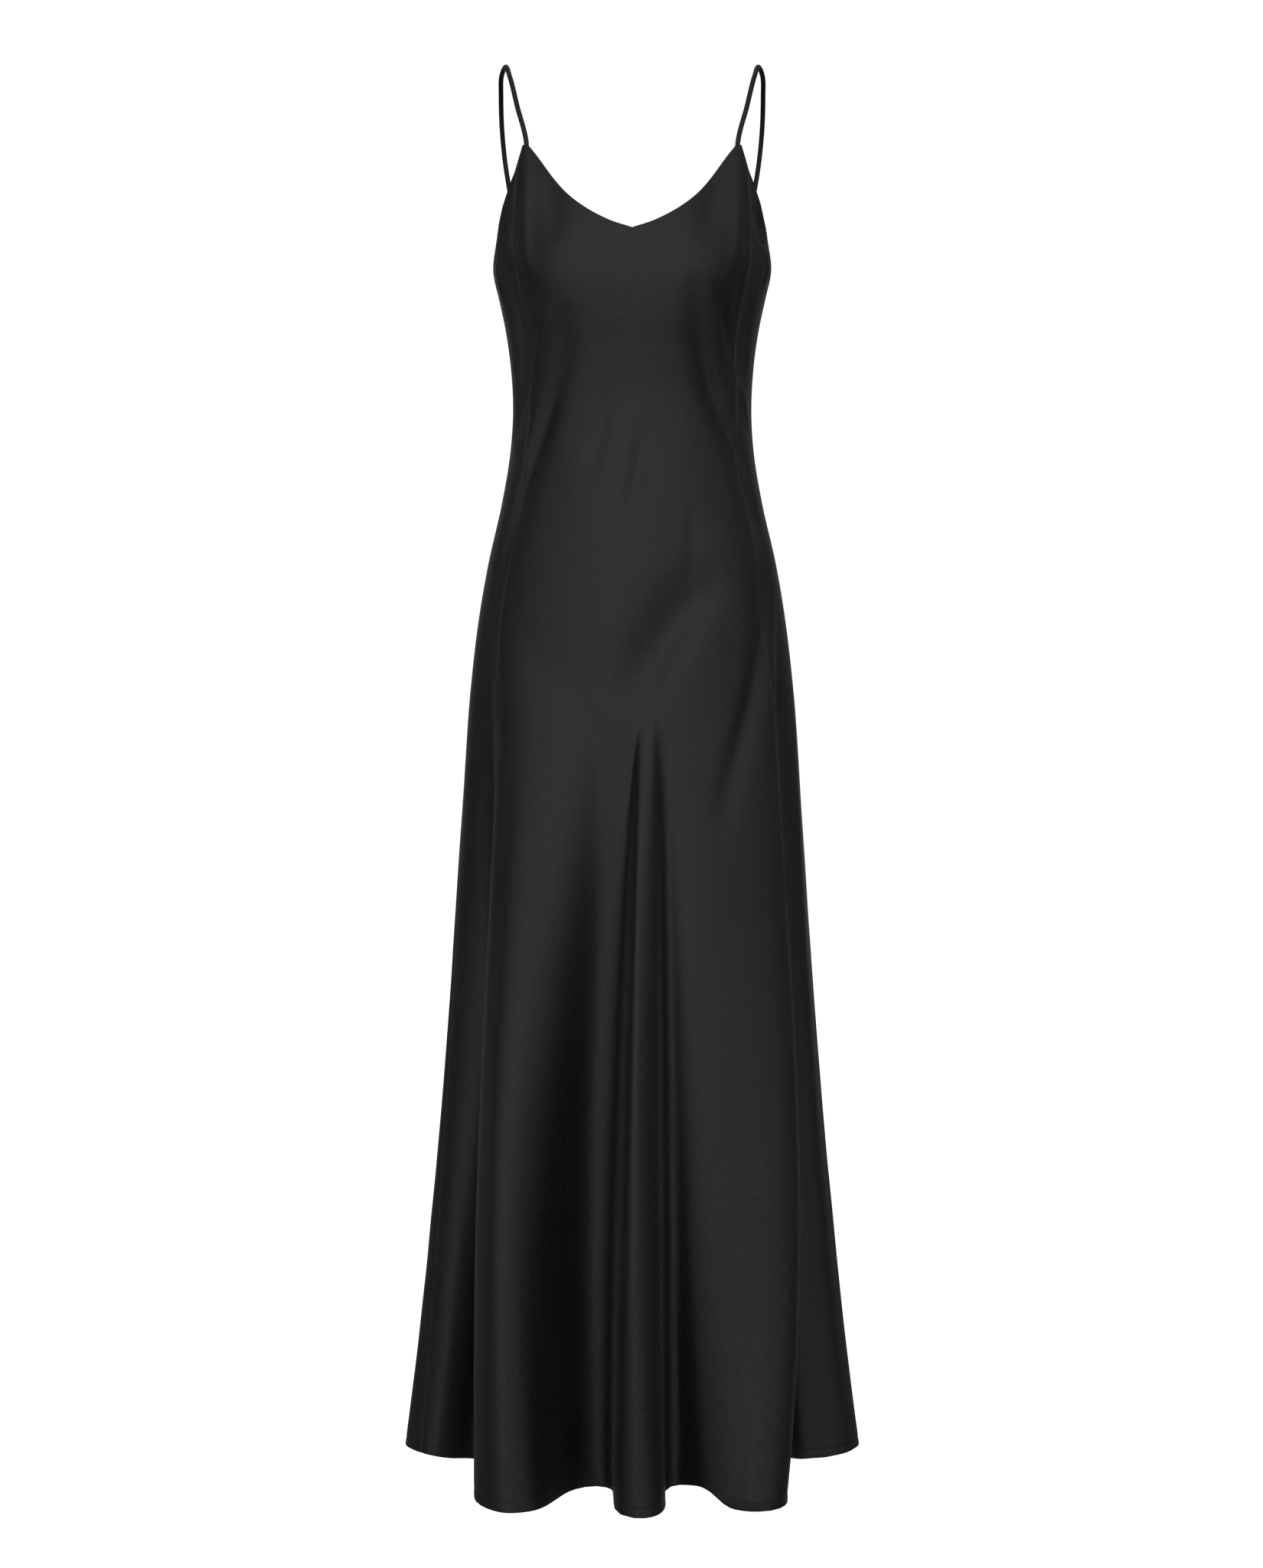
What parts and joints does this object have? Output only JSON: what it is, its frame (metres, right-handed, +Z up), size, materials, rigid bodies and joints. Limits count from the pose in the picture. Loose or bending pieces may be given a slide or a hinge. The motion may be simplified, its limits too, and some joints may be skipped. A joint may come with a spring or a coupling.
{
  "type": "slip dress",
  "caption": "Long bias-cut satin slip dress with thin shoulder straps, a soft V neckline and a fluted hem, hollow as worn.",
  "frame": {"origin": "midway between the undersides of the two straps at their tops, where the shoulders hold the dress", "axes": "+Z up the dress from hem to straps, -Y towards the front of the dress, +X towards the wearer's left side"},
  "size_m": [0.4739, 0.5011, 1.4515],
  "materials": {
    "satin": "black satin with a soft sheen"
  },
  "bodies": {
    "root": {"front_panel": "satin", "back_panel": "satin", "strap_left": "satin", "strap_right": "satin"}
  },
  "joints": []
}
